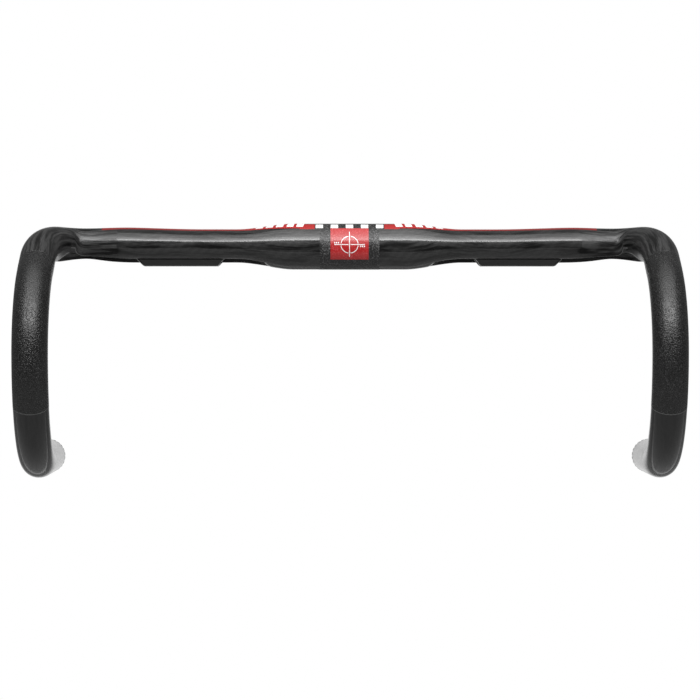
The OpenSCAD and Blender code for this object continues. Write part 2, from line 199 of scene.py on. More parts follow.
def section_shape(s, wall):
    """Half sizes, middle and power of the superellipse at station s."""
    rise = WING_RISE * ease((s - RISE_SPAN[0]) / (RISE_SPAN[1] - RISE_SPAN[0]))
    radius = tube_radius(s)
    top = blend_at(s, clamp_r, WING_TOP + rise, CORNER_Z + radius)
    low = blend_at(s, -clamp_r, -WING_BOTTOM, CORNER_Z - radius)
    a = blend_at(s, clamp_r, WING_HALF, radius) - wall
    b = (top - low) / 2 - wall
    y0 = blend_at(s, 0, WING_SETBACK, 0)
    z0 = (top + low) / 2 - CORNER_Z
    return a, b, y0, z0, blend_at(s, 2, WING_POWER, 2)


def oval(angle, a, b, n):
    return (
        a * signed_power(math.cos(angle), 2 / n),
        b * signed_power(math.sin(angle), 2 / n),
    )


def arc_limits(s, wall):
    """Angles at which the outline leaves the rear lip and reaches the front lip."""
    a, b, y0, z0, n = section_shape(s, wall)
    middle = CHANNEL_Y - CHANNEL_DRIFT * ease((s - corner_x) / DRIFT_LEN)
    half = CHANNEL_HALF + wall
    front = max(middle - half - y0, -LIP_LIMIT * a)
    rear = min(middle + half - y0, LIP_LIMIT * a)
    start = -math.acos(signed_power(rear / a, n / 2))
    end = 2 * math.pi - math.acos(signed_power(front / a, n / 2))
    return start, end, front, rear


def outline(s, wall):
    """The section at station s as (y, z) points about the centreline."""
    a, b, y0, z0, n = section_shape(s, wall)
    start, end, front, rear = arc_limits(s, wall)
    depth = channel_depth(s)
    roof = CHANNEL_ROOF - CORNER_Z - z0 + wall

    def in_channel(t, w):
        y = mix(front, rear, t)
        z = -b * max(0.0, 1 - (abs(y) / a) ** n) ** (1 / n)
        return y, z + w * depth * max(0.0, roof - z)

    def rounded(before, corner, after):
        made = []
        for t in spread(0, 1, LIP_STEPS + 2)[1:-1]:
            made.append(
                tuple(
                    (1 - t) ** 2 * p + 2 * t * (1 - t) * c + t * t * q
                    for p, c, q in zip(before, corner, after)
                )
            )
        return made

    turn = LIP / a
    arc = [oval(v, a, b, n) for v in spread(start + turn, end - turn, ARC_POINTS)]
    walk = [in_channel(t, w) for t, w in WALK]
    points = arc + rounded(arc[-1], oval(end, a, b, n), walk[0]) + walk
    points += rounded(walk[-1], oval(start, a, b, n), arc[0])
    return [(y0 + y, z0 + z) for y, z in points]


def place(s, p, side):
    centre, across, up = frame_at(s)
    return mirrored(centre + across * p[0] + up * p[1], side)


def surface_point(s, share, lift, side):
    """A point at a share (0 rear lip to 1 front lip) of the outline over the top."""
    a, b, y0, z0, n = section_shape(s, 0)
    start, end, _, _ = arc_limits(s, 0)
    angle = mix(start, end, share)
    y, z = oval(angle, a, b, n)
    ny = signed_power(y / a, n - 1) / a
    nz = signed_power(z / b, n - 1) / b
    size = math.hypot(ny, nz)
    return place(s, (y0 + y + ny / size * lift, z0 + z + nz / size * lift), side)


# ---- Mesh helpers ----
def mesh_piece(name, body, slot, points, faces, uvs, slots, sharp=40):
    """A mesh from points in millimetres, riding on a CAD body. uvs is one pair per
    face corner, and slots one material index per face."""
    mesh = bpy.data.meshes.new(name)
    mesh.from_pydata([tuple(c * MM for c in p) for p in points], [], faces)
    layer = mesh.uv_layers.new(name="weave")
    layer.data.foreach_set("uv", [c for pair in uvs for c in pair])
    mesh.polygons.foreach_set("material_index", slots)
    mesh.polygons.foreach_set("use_smooth", [True] * len(mesh.polygons))
    mesh.validate()
    mesh.update()
    mesh.set_sharp_from_angle(angle=math.radians(sharp))
    made = bpy.data.objects.new(name, mesh)
    bpy.context.scene.collection.objects.link(made)
    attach(made, body)
    return made


def give(obj, *materials):
    if len(obj.data.materials):  # clearing also resets every face's slot
        obj.data.materials.clear()
    for m in materials:
        obj.data.materials.append(m)


def outward(points, faces, uvs):
    """The faces and uvs of a closed shape, turned round if they face into it."""
    volume = 0.0
    for face in faces:
        first = Vector(points[face[0]])
        for j, k in zip(face[1:], face[2:]):
            volume += first.dot(Vector(points[j]).cross(Vector(points[k])))
    if volume > 0:
        return faces, uvs
    turned = []
    at = 0
    for face in faces:
        turned += uvs[at : at + len(face)][::-1]
        at += len(face)
    return [face[::-1] for face in faces], turned


def skin(rings, stations=None, closed=False, row_slot=None):
    """Points, faces, uvs and slots of a skin through rings of equal length. Open skins
    get end caps; closed ones join the last ring to the first. row_slot gives a face's
    slot from its ring and its place round it. The uvs are the distance round one
    reference ring and the ring's station."""
    n = len(rings[0])
    rows = len(rings)
    points = [p for ring in rings for p in ring]
    pattern = rings[rows // 4]
    around = [0.0]
    for j in range(n):
        around.append(around[-1] + (Vector(pattern[(j + 1) % n]) - Vector(pattern[j])).length)
    along = stations or [float(i) for i in range(rows)]
    faces, uvs, slots = [], [], []
    for i in range(rows if closed else rows - 1):
        k = (i + 1) % rows
        for j in range(n):
            m = (j + 1) % n
            quad = [(i, j, j), (k, j, j), (k, m, j + 1), (i, m, j + 1)]
            faces.append([r * n + c for r, c, _ in quad])
            uvs += [(around[u], along[r]) for r, _, u in quad]
            slots.append(row_slot(i, j) if row_slot else 0)
    if not closed:
        first, last = list(range(n)), [(rows - 1) * n + j for j in range(n - 1, -1, -1)]
        for cap, row in ((first, 0), (last, rows - 1)):
            faces.append(cap)
            uvs += [(points[c][0], points[c][2]) for c in cap]
            slots.append(row_slot(min(row, rows - 2), 0) if row_slot else 0)
    faces, uvs = outward(points, faces, uvs)
    return points, faces, uvs, slots


def film(grid):
    """A closed shell from a grid of (lower point, upper point) pairs."""
    rings = []
    for row in grid:
        rings.append([high for _, high in row] + [low for low, _ in reversed(row)])
    return skin(rings)


def joined(parts):
    """Several (points, faces, uvs, slots) as one."""
    points, faces, uvs, slots = [], [], [], []
    for p, f, u, s in parts:
        base = len(points)
        points += p
        faces += [[i + base for i in face] for face in f]
        uvs += u
        slots += s
    return points, faces, uvs, slots


# ---- Material helpers ----
def node(tree, kind, inputs=None, **props):
    made = tree.nodes.new("ShaderNode" + kind)
    for name, value in props.items():
        setattr(made, name, value)
    for key, value in (inputs or {}).items():
        if isinstance(value, bpy.types.NodeSocket):
            tree.links.new(value, made.inputs[key])
        else:
            made.inputs[key].default_value = value
    return made


def calc(tree, operation, a, b=0.0):
    return node(tree, "Math", {0: a, 1: b}, operation=operation).outputs[0]


def blend_colour(tree, share, a, b):
    made = node(tree, "Mix", data_type="RGBA", blend_type="MIX")
    for key, value in (("Factor", share), ("A", a), ("B", b)):
        socket = next(
            s for s in made.inputs if s.name == key and s.enabled and not s.hide
        )
        if isinstance(value, bpy.types.NodeSocket):
            tree.links.new(value, socket)
        else:
            socket.default_value = value
    return next(s for s in made.outputs if s.enabled)


def shader(name):
    """A new material: (material, node tree, its Principled node)."""
    made = bpy.data.materials.new(name)
    made.use_nodes = True
    tree = made.node_tree
    return made, tree, tree.nodes["Principled BSDF"]


def fixed(principled, **values):
    """Sets constants on the shader's own sockets."""
    for name, value in values.items():
        principled.inputs[name.replace("_", " ")].default_value = value


def grey(v):
    return (v, v, v, 1)


def noise(tree, scale, detail, vector, roughness=0.5):
    inputs = {"Scale": scale, "Detail": detail, "Roughness": roughness, "Vector": vector}
    return node(tree, "TexNoise", inputs).outputs["Fac"]


def ramp(tree, value, lo, hi, out_lo=0.0, out_hi=1.0):
    return node(
        tree,
        "MapRange",
        {
            "Value": value,
            "From Min": lo,
            "From Max": hi,
            "To Min": out_lo,
            "To Max": out_hi,
        },
        interpolation_type="SMOOTHSTEP",
    ).outputs[0]


def bump(tree, height, distance_mm):
    inputs = {"Height": height, "Distance": distance_mm * MM, "Strength": 1.0}
    return node(tree, "Bump", inputs).outputs["Normal"]


def object_space(tree):
    return node(tree, "TexCoord").outputs["Object"]


def uv_space(tree):
    return node(tree, "UVMap", uv_map="weave").outputs["UV"]


def twill(tree, tow):
    """Twill weave from the weave UVs: (which tow is on top, its crown height)."""
    uv = node(tree, "SeparateXYZ", {"Vector": uv_space(tree)})
    u = calc(tree, "DIVIDE", uv.outputs["X"], tow)
    v = calc(tree, "DIVIDE", uv.outputs["Y"], tow)
    cell = calc(tree, "ADD", calc(tree, "FLOOR", u), calc(tree, "FLOOR", v))
    turn = calc(tree, "FLOORED_MODULO", cell, 4.0)
    over = calc(tree, "LESS_THAN", turn, 1.5)
    crowns = []
    for coordinate in (u, v):
        part = calc(tree, "ABSOLUTE", calc(tree, "SUBTRACT", calc(tree, "FRACT", coordinate), 0.5))
        square = calc(tree, "MULTIPLY", part, part)
        crowns.append(calc(tree, "SUBTRACT", 1.0, calc(tree, "MULTIPLY", square, 4.0)))
    crown = node(
        tree, "Mix", {"Factor": over, "A": crowns[1], "B": crowns[0]}, data_type="FLOAT"
    )
    return over, crown.outputs[0]


def torn_plies(tree, space, across_scale, along_scale):
    """Long torn streaks along the fibres: (the tears, finer hairs inside them)."""
    warp = noise(tree, 22, 2, space)
    uv = node(tree, "SeparateXYZ", {"Vector": uv_space(tree)})
    bent = calc(tree, "MULTIPLY", warp, 4.0)
    across = calc(tree, "ADD", calc(tree, "MULTIPLY", uv.outputs["X"], across_scale), bent)
    along = calc(tree, "MULTIPLY", uv.outputs["Y"], along_scale)
    wide = node(tree, "CombineXYZ", {"X": across, "Y": along, "Z": 0.0}).outputs[0]
    narrow = calc(tree, "MULTIPLY", across, 7.0)
    thin = node(tree, "CombineXYZ", {"X": narrow, "Y": along, "Z": 0.0}).outputs[0]
    return noise(tree, 1.0, 6, wide, 0.62), noise(tree, 1.0, 3, thin)


def laminate(name, dark, light, tow, weave, across, along, wave, cover, coat=(0.85, 0.09)):
    """Clear-coated carbon: plies in torn streaks of dark and light over a faint twill.
    cover is the share of dark streaks, wave the orange peel in millimetres, and coat
    the clear coat's weight and roughness."""
    made, tree, p = shader(name)
    space = object_space(tree)
    over, crown = twill(tree, tow)
    tear, hair = torn_plies(tree, space, across, along)
    streak = ramp(tree, tear, cover - 0.07, cover + 0.09)
    shade = calc(tree, "MULTIPLY", streak, ramp(tree, hair, 0.3, 0.7, 0.65, 1.0))
    shade = calc(tree, "MULTIPLY", shade, ramp(tree, over, 0.0, 1.0, 1 - weave, 1.0))
    tree.links.new(blend_colour(tree, shade, grey(dark), grey(light)), p.inputs["Base Color"])
    tree.links.new(ramp(tree, tear, 0.3, 0.7, 0.34, 0.5), p.inputs["Roughness"])
    relief = calc(tree, "ADD", calc(tree, "MULTIPLY", crown, weave), tear)
    tree.links.new(bump(tree, relief, 0.08), p.inputs["Normal"])
    peel = calc(tree, "ADD", noise(tree, 150, 2, space), calc(tree, "MULTIPLY", tear, 1.5))
    tree.links.new(bump(tree, peel, wave), p.inputs["Coat Normal"])
    fixed(p, Metallic=0.5, Specular_IOR_Level=0.4)
    fixed(p, Coat_Weight=coat[0], Coat_Roughness=coat[1], Coat_IOR=1.5)
    return made


def grit_carbon(name, base, spark, grain, depth_mm, rough):
    """Carbon with a gritty grip coat: fine raised grains with small bright facets."""
    made, tree, p = shader(name)
    space = object_space(tree)
    grains = node(tree, "TexVoronoi", {"Vector": space, "Scale": grain, "Randomness": 1.0})
    patches = noise(tree, 60, 3, space)
    fine = noise(tree, grain * 1.3, 2, space)
    top = ramp(tree, grains.outputs["Distance"], 0.1, 0.6, 1.0, 0.0)
    height = calc(tree, "ADD", top, calc(tree, "MULTIPLY", fine, 0.6))
    share = calc(
        tree, "MULTIPLY", ramp(tree, fine, 0.52, 0.68), ramp(tree, patches, 0.3, 0.7, 0.5, 1.0)
    )
    tree.links.new(blend_colour(tree, share, grey(base), grey(spark)), p.inputs["Base Color"])
    tree.links.new(ramp(tree, fine, 0.3, 0.7, rough - 0.06, rough + 0.08), p.inputs["Roughness"])
    tree.links.new(bump(tree, height, depth_mm), p.inputs["Normal"])
    fixed(p, Specular_IOR_Level=0.5, Coat_Weight=0.0)
    return made


def bare_carbon(name):
    """Uncoated moulded carbon, for the bore, the ends and the sleeves."""
    made, tree, p = shader(name)
    space = object_space(tree)
    cloth = node(tree, "TexVoronoi", {"Vector": space, "Scale": 420.0}, feature="F1")
    shade = ramp(tree, cloth.outputs["Distance"], 0.1, 0.6)
    tree.links.new(blend_colour(tree, shade, grey(0.03), grey(0.012)), p.inputs["Base Color"])
    tree.links.new(bump(tree, noise(tree, 900, 3, space), 0.05), p.inputs["Normal"])
    fixed(p, Roughness=0.55, Specular_IOR_Level=0.4)
    return made


PAINTED_SHADE_KEEP = 0.6  # how much of its colour a print keeps where painted shade darkens it


def printed(name, colour, worn, peel_mm, rough, coat, shade_span=None):
    """Printed film under lacquer: a mottled ink with fine specks. The same film also makes the
    painted highlights on the guides' ends and the channel's lip. The span in the last argument, if
    given, is where across the bar, in metres, the ink starts and ends turning darker: a painted
    shade."""
    made, tree, p = shader(name)
    space = object_space(tree)
    specks = noise(tree, 1500, 2, space)
    mottle = noise(tree, 120, 3, space)
    share = calc(
        tree, "MULTIPLY", ramp(tree, specks, 0.5, 0.72), ramp(tree, mottle, 0.3, 0.7, 0.4, 1.0)
    )
    ink = blend_colour(tree, share, (*colour, 1), (*worn, 1))
    # Painted shade: the ink darkens over the given span across the bar.
    if shade_span:
        at = node(tree, "SeparateXYZ", {"Vector": space})
        out = calc(tree, "ABSOLUTE", at.outputs["X"])
        shade = tuple(c * PAINTED_SHADE_KEEP for c in colour)
        ink = blend_colour(tree, ramp(tree, out, *shade_span), ink, (*shade, 1))
    tree.links.new(ink, p.inputs["Base Color"])
    tree.links.new(bump(tree, specks, peel_mm), p.inputs["Normal"])
    tree.links.new(ramp(tree, mottle, 0.3, 0.7, rough - 0.06, rough + 0.06), p.inputs["Roughness"])
    fixed(p, Specular_IOR_Level=0.5, Coat_Weight=coat, Coat_Roughness=0.12, Coat_IOR=1.5)
    return made


def moulded(name, base, grain, rough):
    """Fine spark-eroded plastic or rubber."""
    made, tree, p = shader(name)
    space = object_space(tree)
    pebble = node(tree, "TexVoronoi", {"Vector": space, "Scale": grain})
    cloud = noise(tree, 90, 3, space)
    tree.links.new(
        blend_colour(tree, cloud, grey(base * 0.8), grey(base * 1.3)), p.inputs["Base Color"]
    )
    tree.links.new(bump(tree, pebble.outputs["Distance"], 0.04), p.inputs["Normal"])
    tree.links.new(ramp(tree, cloud, 0.3, 0.7, rough - 0.07, rough + 0.07), p.inputs["Roughness"])
    fixed(p, Specular_IOR_Level=0.5)
    return made


HALF_WAVES = 6.28  # nearly the half waves in a unit of a wave texture of scale 1
TARNISH = 0.6  # how much of its colour the metal keeps where it is tarnished


def turned(name, colour, rough, ridge_mm):
    """Turned metal: fine tool rings with ridges ridge_mm wide, and a little tarnish."""
    made, tree, p = shader(name)
    space = object_space(tree)
    scale = 1 / (ridge_mm * MM) / HALF_WAVES
    lines = node(
        tree, "TexWave", {"Vector": space, "Scale": scale, "Distortion": 0.4},
        wave_type="BANDS", bands_direction="Y",
    )
    cloud = noise(tree, 200, 3, space)
    dark = tuple(c * TARNISH for c in colour)
    mottled = blend_colour(tree, ramp(tree, cloud, 0.35, 0.7), (*colour, 1), (*dark, 1))
    tree.links.new(mottled, p.inputs["Base Color"])
    tree.links.new(bump(tree, lines.outputs["Fac"], 0.015), p.inputs["Normal"])
    tree.links.new(ramp(tree, cloud, 0.3, 0.7, rough - 0.06, rough + 0.08), p.inputs["Roughness"])
    fixed(p, Metallic=1.0)
    return made


carbon_gloss = laminate(
    "carbon_gloss", dark=0.002, light=0.035, tow=1.6, weave=0.25,
    across=0.36, along=0.035, wave=0.035, cover=0.47,
)
carbon_ply = laminate(
    "carbon_ply", dark=0.002, light=0.07, tow=1.6, weave=0.1,
    across=0.36, along=0.035, wave=0.06, cover=0.49, coat=(0.4, 0.2),
)
carbon_lower = laminate(
    "carbon_lower", dark=0.003, light=0.010, tow=1.6, weave=0.2,
    across=0.3, along=0.03, wave=0.02, cover=0.47,
)
carbon_guide = laminate(
    "carbon_guide", dark=0.003, light=0.012, tow=1.2, weave=0.2,
    across=0.1, along=0.03, wave=0.03, cover=0.45,
)
carbon_grit = grit_carbon(
    "carbon_grit", base=0.007, spark=0.05, grain=1100, depth_mm=0.13, rough=0.28
)
carbon_clamp_grit = grit_carbon(
    "carbon_clamp_grit", base=0.012, spark=0.16, grain=1000, depth_mm=0.12, rough=0.36
)
carbon_bare = bare_carbon("carbon_bare")
# A pale grey film on the cable guides' end chamfers: a painted highlight where the ends catch the
# light.
edge_pale = printed(
    "edge_pale", (0.42, 0.42, 0.42), (0.3, 0.3, 0.3), peel_mm=0.03, rough=0.45, coat=0.2
)
# A grey film on the rounding of the channel's front lip: a painted highlight, the reflection of the
# pale floor below as a thin bright line.
lip_rim = printed(
    "lip_rim", (0.16, 0.16, 0.16), (0.10, 0.10, 0.10), peel_mm=0.03, rough=0.3, coat=0.6
)
grip_line = printed(
    "grip_line", (0.10, 0.10, 0.10), (0.06, 0.06, 0.06), peel_mm=0.03, rough=0.4, coat=0.2
)
red_print = printed(
    "red_print", (0.40, 0.012, 0.013), (0.62, 0.09, 0.10), peel_mm=0.08, rough=0.36, coat=0.3
)
BAND_SHADE_SPAN = (0.06, 0.085)  # metres from the middle over which painted shade darkens the red band outward
# The red band's ink darkens towards the bar's ends: painted shade laid over the real red print.
red_band_print = printed(
    "red_band_print", (0.36, 0.012, 0.012), (0.24, 0.012, 0.01),
    peel_mm=0.03, rough=0.5, coat=0.1, shade_span=BAND_SHADE_SPAN,
)
white_print = printed(
    "white_print", (0.86, 0.86, 0.86), (0.7, 0.7, 0.7), peel_mm=0.05, rough=0.4, coat=0.3
)
cap_black = moulded("cap_black", base=0.018, grain=900, rough=0.5)
rubber_black = moulded("rubber_black", base=0.03, grain=600, rough=0.75)
cone_metal = turned("cone_metal", (0.62, 0.62, 0.64), rough=0.3, ridge_mm=0.35)
screw_black = turned("screw_black", (0.09, 0.09, 0.10), rough=0.36, ridge_mm=0.5)


# ---- Tops ----
END_BREAK = 0.12  # chamfer of the tube's ends at the bonded joint
OUTER_STEP, INNER_STEP = 1.4, 6.0
WING_LEN, NECK_ROOM, BEND_ROOM = 70, 34, 66  # these set how many stations each gets


def station_list(step):
    """Stations from the middle out to the joint, closer together in the bends."""
    made = spread(0, clamp_half, 8)
    made += spread(clamp_half, TAPER[1], 30)[1:]
    made += spread(TAPER[1], NECK_START, int(WING_LEN / (2 * step)))[1:]
    made += spread(NECK_START, corner_x, int(NECK_ROOM / step))[1:]
    made += spread(corner_x, collar_s, int(BEND_ROOM / step))[1:]
    made += spread(collar_s, joint_s - END_BREAK, 7)[1:]
    return made


def ring_at(s, wall, side):
    return [place(s, p, side) for p in outline(s, wall)]


def wall_at(s):
    return mix(CLAMP_WALL, WALL, ease((s - clamp_half) / WALL_TAPER))


def tops_rows(step, wall_of, cut):
    """(signed station, ring) rows from the right joint to the left joint. wall_of gives
    the wall at a station, for the bore; cut narrows the two end rings."""
    half = station_list(step)
    gritty = [] if wall_of else [GRIT_HALF]
    half = sorted(set(half + gritty))

    def wall(s):
        return wall_of(s) if wall_of else 0.0

    rows = [(s, wall(s)) for s in half]
    rows.append((joint_s, wall(joint_s) + cut))
    right = [(-s, ring_at(s, w, -1.0)) for s, w in reversed(rows)]
    left = [(s, ring_at(s, w, 1.0)) for s, w in rows]
    return right + left[1:]


# Material slots
TOPS_GLOSS, TOPS_GRIT, TOPS_PLY, TOPS_BARE, TOPS_LIP_REFLECTION = range(5)
PLY_FROM = 160.0
# The front lip's rounding between these stations takes the painted highlight film.
LIP_REFLECTION_COLUMNS = range(ARC_POINTS, ARC_POINTS + LIP_STEPS)
LIP_REFLECTION_SPAN = (58.0, corner_x + 26)


def build_tops():
    outer = tops_rows(OUTER_STEP, None, END_BREAK)
    inner = tops_rows(INNER_STEP, wall_at, 0.0)[::-1]
    rows = outer + inner
    signed = [s for s, _ in rows]

    def row_slot(i, j):
        if i >= len(outer) - 1:
            return TOPS_BARE
        middle = abs(signed[i] + signed[i + 1]) / 2
        # painted highlight along the channel's front lip
        if j in LIP_REFLECTION_COLUMNS and LIP_REFLECTION_SPAN[0] < middle < LIP_REFLECTION_SPAN[1]:
            return TOPS_LIP_REFLECTION
        if middle < GRIT_HALF:
            return TOPS_GRIT
        return TOPS_PLY if middle > PLY_FROM else TOPS_GLOSS

    data = skin([ring for _, ring in rows], signed, closed=True, row_slot=row_slot)
    made = mesh_piece("tops", "bar", "carbon_tops", *data)
    give(made, carbon_gloss, carbon_clamp_grit, carbon_ply, carbon_bare, lip_rim)
    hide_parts("top_section")


build_tops()

# ---- Hooks ----
# Material slots
HOOK_PLY, HOOK_GRIT, HOOK_LINE, HOOK_LOWER, HOOK_BARE = range(5)
GRIT_TOP_Z = -12.0
LINE_WIDTH = 0.45
BEND_SLIM = 0.06  # the bends are this much slimmer than the straights
GRIT_LINE_TURN = math.radians(28.5)  # below the foremost point
RING_POINTS = 96
HOOK_STEP, BORE_ROWS = 1.5, 60
RIDGE = 0.05  # height of the grip coat's edge
SLACK = 0.01  # for rounding, where a row lies on a line
hook_start = collar_pos + ramp_dir * JOINT_LEN
upper_axis = Vector((HOOK_X, hook_start.y + UPPER_R * math.sin(RAMP_SLOPE), 0))
front_z = hook_start.z - UPPER_R * math.cos(RAMP_SLOPE)
foremost = Vector((HOOK_X, upper_axis.y - UPPER_R, front_z))
joint_pos = collar_pos + ramp_dir * JOINT_LEN / 2
upper_arc = UPPER_R * (math.pi / 2 - RAMP_SLOPE)
lower_arc = LOWER_R * math.pi / 2
grit_line = JOINT_LEN / 2 + upper_arc + LOWER_R * GRIT_LINE_TURN
hook_len = JOINT_LEN / 2 + upper_arc + lower_arc + drop_len


def hook_frame(t):
    """Centre and two cross directions of the left hook, t millimetres from the joint."""
    down = Vector((0, 0, -1))
    straight = JOINT_LEN / 2
    if t <= straight:
        out = Vector((1, 0, 0)).cross(ramp_dir)
        return joint_pos + ramp_dir * t, Vector((1, 0, 0)), -out
    t -= straight
    if t <= upper_arc:
        angle = (math.pi / 2 - RAMP_SLOPE) - t / UPPER_R
        out = Vector((0, -math.cos(angle), math.sin(angle)))
        centre = Vector((HOOK_X, upper_axis.y, front_z))
        return centre + UPPER_R * out, Vector((1, 0, 0)), out
    t -= upper_arc
    across = Vector((drop_dir.y, -drop_dir.x, 0))
    centre = foremost + LOWER_R * drop_dir
    if t <= lower_arc:
        angle = t / LOWER_R
        out = -math.cos(angle) * drop_dir + math.sin(angle) * down
        return centre + LOWER_R * out, across, out
    return centre + LOWER_R * down + drop_dir * (t - lower_arc), across, down


def hook_ring(t, r, side):
    centre, across, out = hook_frame(t)
    ring = []
    for j in range(RING_POINTS):
        angle = 2 * math.pi * j / RING_POINTS
        ring.append(mirrored(centre + r * (math.cos(angle) * across + math.sin(angle) * out), side))
    return ring


def hook_rows():
    """(distance, radius) rows over the outside and back through the bore."""
    bend = (JOINT_LEN / 2, JOINT_LEN / 2 + upper_arc + lower_arc)
    stops = [0.0, bend[0], bend[0] + upper_arc, grit_line - LINE_WIDTH, grit_line, bend[1]]
    stops.append(hook_len - 0.6)

    def radius_at(t):
        slim = ease((t - bend[0] + 2) / 2) * (1 - ease((t - bend[1]) / 2))
        return tube_r - BEND_SLIM * slim

    rows = [(0.0, tube_r - END_BREAK), (END_BREAK, tube_r)]
    for lo, hi in zip(stops, stops[1:]):
        count = max(2, int((hi - lo) / HOOK_STEP))
        for t in spread(max(lo, END_BREAK), hi, count)[1:]:
            rows.append((t, radius_at(t)))
    rows += [(hook_len - 0.3, tube_r - 0.12), (hook_len, tube_r - 0.4)]
    outer = len(rows)
    rows += [(hook_len, tube_r - WALL + 0.3), (hook_len - 0.3, tube_r - WALL)]
    rows += [(t, tube_r - WALL) for t in spread(hook_len - 1, 1.0, BORE_ROWS)]
    rows += [(0.0, tube_r - WALL)]
    edge = grit_line + 0.1
    for i, (t, r) in enumerate(rows[:outer]):
        if t > edge:
            rows[i] = (t, r - RIDGE)
    return rows, outer


def build_hook(name, side):
    rows, outer = hook_rows()

    def row_slot(i, _):
        if i >= outer - 1:
            return HOOK_BARE
        t = rows[i][0]
        if t >= grit_line - SLACK:
            return HOOK_LOWER
        if t >= grit_line - LINE_WIDTH - SLACK:
            return HOOK_LINE
        return HOOK_PLY if hook_frame(t)[0].z > GRIT_TOP_Z else HOOK_GRIT

    rings = [hook_ring(t, r, side) for t, r in rows]
    along = [joint_s + t for t, _ in rows]
    data = skin(rings, along, closed=True, row_slot=row_slot)
    made = mesh_piece(name + "_hook_tube", "bar", "carbon_hooks", *data)
    give(made, carbon_ply, carbon_grit, grip_line, carbon_lower, carbon_bare)
    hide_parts(name + "_hook")


for side_name, side_sign in SIDES.items():
    build_hook(side_name, side_sign)

# ---- Cable guides ----
guide_base = guide_low.z
GUIDE_PROFILE = [
    (-7.1, -6.2), (-7.85, -9.0), (-7.4, -10.2), (-6.1, guide_base + 0.9), (-4.8, guide_base),
    (3.8, guide_base), (5.3, guide_base + 0.6), (5.8, -10.9), (5.1, -6.2), (3.85, -6.2),
    (4.25, -10.9), (3.5, guide_base + 1.25), (-4.4, guide_base + 1.25), (-6.1, -10.0),
    (-5.85, -6.2),
]
GUIDE_LIP = -9.0  # the ends are square above this height and slope below it
GUIDE_SLOPES = (4.1, 4.8)  # how far the inner and outer ends lean in at the bottom
GUIDE_EDGE = 0.45  # chamfer of the ends
GUIDE_RINGS = 24


def softened(points, share, steps):
    """A closed outline with each corner turned into a short curve."""
    made = []
    count = len(points)
    for i, corner in enumerate(points):
        before, after = points[i - 1], points[(i + 1) % count]
        start = [mix(c, b, share) for c, b in zip(corner, before)]
        end = [mix(c, a, share) for c, a in zip(corner, after)]
        for t in spread(0, 1, steps):
            made.append(tuple(
                (1 - t) ** 2 * s + 2 * t * (1 - t) * c + t * t * e
                for s, c, e in zip(start, corner, end)
            ))
    return made


def shrunk(points, by):
    """A closed outline moved inward along its normals."""
    made = []
    count = len(points)
    for i, (y, z) in enumerate(points):
        before, after = points[i - 1], points[(i + 1) % count]
        dy, dz = after[0] - before[0], after[1] - before[1]
        size = math.hypot(dy, dz) or 1.0
        made.append((y - dz / size * by, z + dy / size * by))
    return made


def build_guide(name, side):
    full = softened(GUIDE_PROFILE, share=0.3, steps=5)
    inner = shrunk(full, GUIDE_EDGE)

    def ring(profile, share, inset):
        made = []
        for y, z in profile:
            fall = max(0.0, GUIDE_LIP - z) / (GUIDE_LIP - guide_base)
            start = guide_low.x + GUIDE_SLOPES[0] * fall + inset
            end = guide_high.x - GUIDE_SLOPES[1] * fall - inset
            made.append(mirrored((mix(start, end, share), y, z), side))
        return made

    rings = [ring(inner, 0, 0.0), ring(full, 0, GUIDE_EDGE)]
    rings += [ring(full, v, GUIDE_EDGE) for v in spread(0, 1, GUIDE_RINGS)[1:]]
    rings += [ring(inner, 1, 0.0)]
    last = len(rings) - 2
    # The end chamfers take the pale film of painted highlight.
    data = skin(rings, row_slot=lambda i, _: int(i in (0, last)))
    made = mesh_piece(name + "_guide", "bar", "guide_carbon", *data, sharp=50)
    give(made, carbon_guide, edge_pale)
    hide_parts(name + "_cable_guide")


for side_name, side_sign in SIDES.items():
    build_guide(side_name, side_sign)

# ---- Printed films ----
FILM_UP, FILM_DOWN = 0.035, 0.04
TARGET_LIFT, STRIPE_LIFT = 0.03, 0.04  # how much higher the whites lie than the red
STRIPE_SLANT = 2.5


def barrel_point(angle, x, r):
    a = math.radians(angle)
    return (x, -r * math.cos(a), r * math.sin(a))


def barrel_film(a0, a1, x0, x1, lift=0.0):
    """A patch on the barrel between two angles above the front, in degrees."""
    across = max(2, int(abs(x1 - x0) / 2) + 2)
    around = max(3, int(abs(a1 - a0) / 3) + 2)
    low, high = clamp_r - FILM_DOWN, clamp_r + FILM_UP + lift
    grid = [
        [(barrel_point(a, x, low), barrel_point(a, x, high)) for a in spread(a0, a1, around)]
        for x in spread(x0, x1, across)
    ]
    return film(grid)


def barrel_ring(angle, radius, half_line, start, end, lift):
    """Part of a ring drawn on the barrel about a point, from one turn to another."""
    low, high = clamp_r - FILM_DOWN, clamp_r + FILM_UP + lift
    grid = []
    for turn in spread(math.radians(start), math.radians(end), 20):
        row = []
        for r in (radius - half_line, radius, radius + half_line):
            a = angle + math.degrees(r * math.sin(turn) / clamp_r)
            x = r * math.cos(turn)
            row.append((barrel_point(a, x, low), barrel_point(a, x, high)))
        grid.append(row)
    return film(grid)


def wing_film(side, s0, s1, share0, share1, slant=0.0, lift=0.0):
    """A patch on the tops between two stations; slant leans it outward at the front."""
    along = max(3, int(abs(s1 - s0) / 2.0) + 2)
    around = max(4, int(abs(share1 - share0) * 70) + 2)
    grid = []
    for s in spread(s0, s1, along):
        row = []
        for share in spread(share0, share1, around):
            at = s + slant * (share - share0) / (share1 - share0)
            low = surface_point(at, share, -FILM_DOWN, side)
            row.append((low, surface_point(at, share, FILM_UP + lift, side)))
        grid.append(row)
    return film(grid)


def film_piece(name, node_name, slot, parts, material):
    made = mesh_piece(name, "bar", slot, *joined(parts), sharp=50)
    give(made, material)
    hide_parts(node_name)


